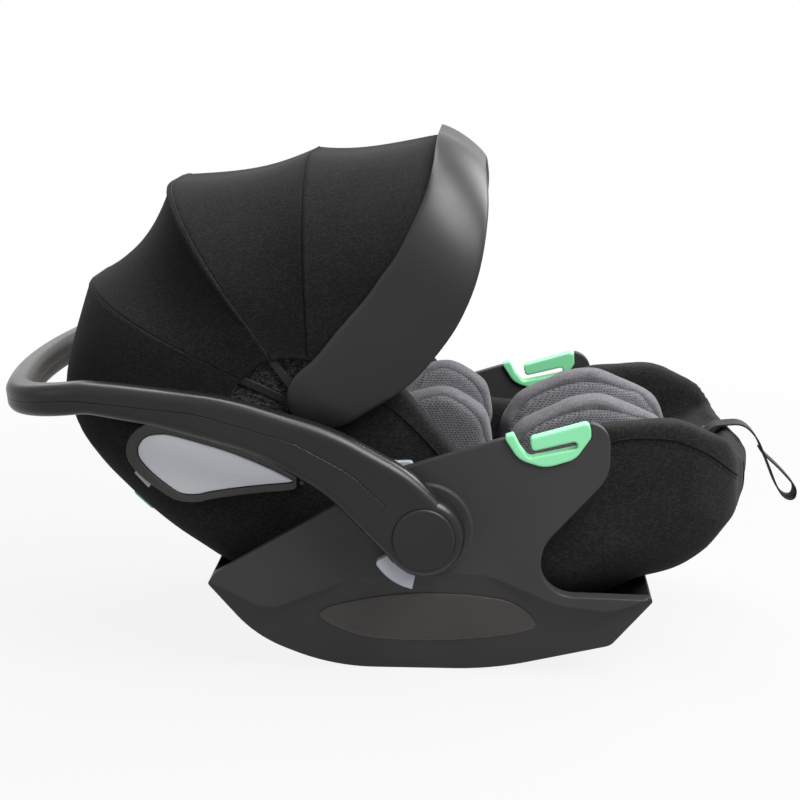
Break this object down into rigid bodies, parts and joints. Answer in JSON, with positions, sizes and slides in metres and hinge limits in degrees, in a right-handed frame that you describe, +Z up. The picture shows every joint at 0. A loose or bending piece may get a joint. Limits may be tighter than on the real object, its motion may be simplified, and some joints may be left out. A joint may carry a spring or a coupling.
{
  "type": "infant car seat",
  "caption": "Rear-facing infant car seat: padded bucket with harness and newborn insert, rocker base, swinging carry handle, folding canopy, belt guides and side flaps.",
  "frame": {"origin": "on the ground under the middle of the seat's overall length and width, without the pull strap", "axes": "+X to the foot end, +Y to the child's left, +Z up"},
  "size_m": [0.8244, 0.442, 0.541],
  "materials": {
    "base_plastic": "fine-grained moulded charcoal plastic",
    "handle_plastic": "satin black moulded plastic",
    "handle_grip": "textured charcoal plastic",
    "green_plastic": "satin mint green plastic",
    "grey_plastic": "satin light grey plastic",
    "steel": "plain steel",
    "slide_plastic": "black moulded plastic",
    "cover_fabric": "black woven fabric over padding",
    "shell_plastic": "black moulded plastic",
    "insert_fabric": "grey flecked knit with a pale border",
    "webbing": "black woven webbing",
    "pad_fabric": "black woven fabric over padding",
    "buckle_plastic": "black moulded plastic",
    "button_plastic": "red moulded plastic",
    "adjuster_plastic": "satin light grey plastic",
    "bow_plastic": "black moulded plastic",
    "canopy_fabric": "black woven fabric",
    "visor_plastic": "smooth matt black moulded sheet",
    "flap_plastic": "satin black moulded plastic",
    "flap_inlay": "satin light grey plastic"
  },
  "bodies": {
    "base": {"base_shell": "base_plastic", "base_lock_bars": "steel", "belt_guide_right": "green_plastic", "belt_guide_left": "green_plastic", "recline_rail_right": "slide_plastic", "recline_rail_left": "slide_plastic", "handle_axle_right": "steel", "handle_axle_left": "steel"},
    "handle": {"handle_upper_shell": "handle_plastic", "handle_lower_shell": "handle_grip", "hub_cap_right": "handle_plastic", "hub_cap_left": "handle_plastic"},
    "handle_release_right": {"handle_release_button_right": "grey_plastic"},
    "handle_release_left": {"handle_release_button_left": "grey_plastic"},
    "seat": {"outer_cover": "cover_fabric", "seat_shell": "shell_plastic", "seat_liner": "cover_fabric", "recline_shoe_right": "slide_plastic", "recline_shoe_left": "slide_plastic", "newborn_insert_back": "insert_fabric", "newborn_insert_seat": "insert_fabric", "shoulder_strap_right": "webbing", "shoulder_strap_left": "webbing", "shoulder_pad_right": "pad_fabric", "shoulder_pad_left": "pad_fabric", "buckle_tongue_right": "steel", "buckle_tongue_left": "steel", "hip_strap_right": "webbing", "hip_strap_left": "webbing", "buckle_body": "buckle_plastic", "crotch_strap": "webbing", "crotch_pad": "pad_fabric", "adjuster_housing": "buckle_plastic", "adjuster_strap": "webbing", "adjuster_strap_loop": "webbing", "rear_belt_guide_right": "green_plastic", "rear_belt_guide_left": "green_plastic", "canopy_pivot_right": "steel", "canopy_pivot_left": "steel", "canopy_bow_1": "bow_plastic", "canopy_panel_1": "canopy_fabric", "flap_hinge_right": "slide_plastic", "flap_hinge_left": "slide_plastic"},
    "recline_release_right": {"recline_tab_right": "grey_plastic"},
    "recline_release_left": {"recline_tab_left": "grey_plastic"},
    "headrest": {"headrest": "cover_fabric"},
    "canopy_middle": {"canopy_bow_2": "bow_plastic", "canopy_panel_2": "canopy_fabric"},
    "canopy_front": {"canopy_bow_3": "bow_plastic", "canopy_panel_3": "canopy_fabric"},
    "visor": {"canopy_visor": "visor_plastic", "canopy_panel_4": "canopy_fabric"},
    "flap_right": {"flap_frame_right": "flap_plastic", "flap_panel_right": "flap_inlay"},
    "flap_left": {"flap_frame_left": "flap_plastic", "flap_panel_left": "flap_inlay"},
    "flap_catch_right": {"flap_tab_right": "grey_plastic"},
    "flap_catch_left": {"flap_tab_left": "grey_plastic"},
    "buckle_release": {"buckle_button": "button_plastic"},
    "adjuster_release": {"adjuster_button": "adjuster_plastic"}
  },
  "joints": [
    {"name": "handle_swing", "type": "hinge", "parent": "base", "child": "handle", "pos_m": [0.0505, 0, 0.158], "axis": [0, 1, 0], "range_deg": [0, 140]},
    {"name": "handle_release_press_right", "type": "slide", "parent": "handle", "child": "handle_release_right", "axis": [0.5948, 0, 0.8039], "range_m": [0, 0.004], "stiffness_N_per_m": 400, "springref_m": -0.005},
    {"name": "handle_release_press_left", "type": "slide", "parent": "handle", "child": "handle_release_left", "axis": [0.5948, 0, 0.8039], "range_m": [0, 0.004], "stiffness_N_per_m": 400, "springref_m": -0.005},
    {"name": "seat_recline", "type": "hinge", "parent": "base", "child": "seat", "pos_m": [0.0665, 0, 0.5], "axis": [0, -1, 0], "range_deg": [0, 8]},
    {"name": "recline_release_press_right", "type": "slide", "parent": "seat", "child": "recline_release_right", "axis": [0, 0, -1], "range_m": [0, 0.004], "stiffness_N_per_m": 300, "springref_m": -0.005},
    {"name": "recline_release_press_left", "type": "slide", "parent": "seat", "child": "recline_release_left", "axis": [0, 0, -1], "range_m": [0, 0.004], "stiffness_N_per_m": 300, "springref_m": -0.005},
    {"name": "headrest_height", "type": "hinge", "parent": "seat", "child": "headrest", "pos_m": [0.0665, 0, 0.5], "axis": [0, 1, 0], "range_deg": [0, 5]},
    {"name": "canopy_fold", "type": "hinge", "parent": "seat", "child": "canopy_middle", "pos_m": [-0.0635, 0, 0.27], "axis": [0, -1, 0], "range_deg": [0, 25.5], "deforming": ["canopy_panel_2"]},
    {"name": "canopy_front_fold", "type": "hinge", "parent": "canopy_middle", "child": "canopy_front", "pos_m": [-0.0635, 0, 0.27], "axis": [0, -1, 0], "range_deg": [0, 29.4], "deforming": ["canopy_panel_3"]},
    {"name": "visor_fold", "type": "hinge", "parent": "canopy_front", "child": "visor", "pos_m": [-0.0635, 0, 0.27], "axis": [0, -1, 0], "range_deg": [0, 22.2], "deforming": ["canopy_panel_4"]},
    {"name": "flap_swing_right", "type": "hinge", "parent": "seat", "child": "flap_right", "pos_m": [-0.072, -0.16875, 0.206], "axis": [0, 0, 1], "range_deg": [0, 25]},
    {"name": "flap_swing_left", "type": "hinge", "parent": "seat", "child": "flap_left", "pos_m": [-0.072, 0.16875, 0.206], "axis": [0, 0, -1], "range_deg": [0, 25]},
    {"name": "flap_catch_press_right", "type": "slide", "parent": "seat", "child": "flap_catch_right", "axis": [-0.5299, 0, -0.848], "range_m": [0, 0.003], "stiffness_N_per_m": 300, "springref_m": -0.005},
    {"name": "flap_catch_press_left", "type": "slide", "parent": "seat", "child": "flap_catch_left", "axis": [-0.5299, 0, -0.848], "range_m": [0, 0.003], "stiffness_N_per_m": 300, "springref_m": -0.005},
    {"name": "buckle_press", "type": "slide", "parent": "seat", "child": "buckle_release", "axis": [-0.0698, 0, -0.9976], "range_m": [0, 0.003], "stiffness_N_per_m": 600, "springref_m": -0.005},
    {"name": "adjuster_press", "type": "slide", "parent": "seat", "child": "adjuster_release", "axis": [0.4798, 0, -0.8774], "range_m": [0, 0.003], "stiffness_N_per_m": 400, "springref_m": -0.005}
  ],
  "couplings": [
    {"joint": "canopy_front_fold", "follows": "canopy_fold", "ratio": 1.145},
    {"joint": "visor_fold", "follows": "canopy_fold", "ratio": 0.863}
  ]
}
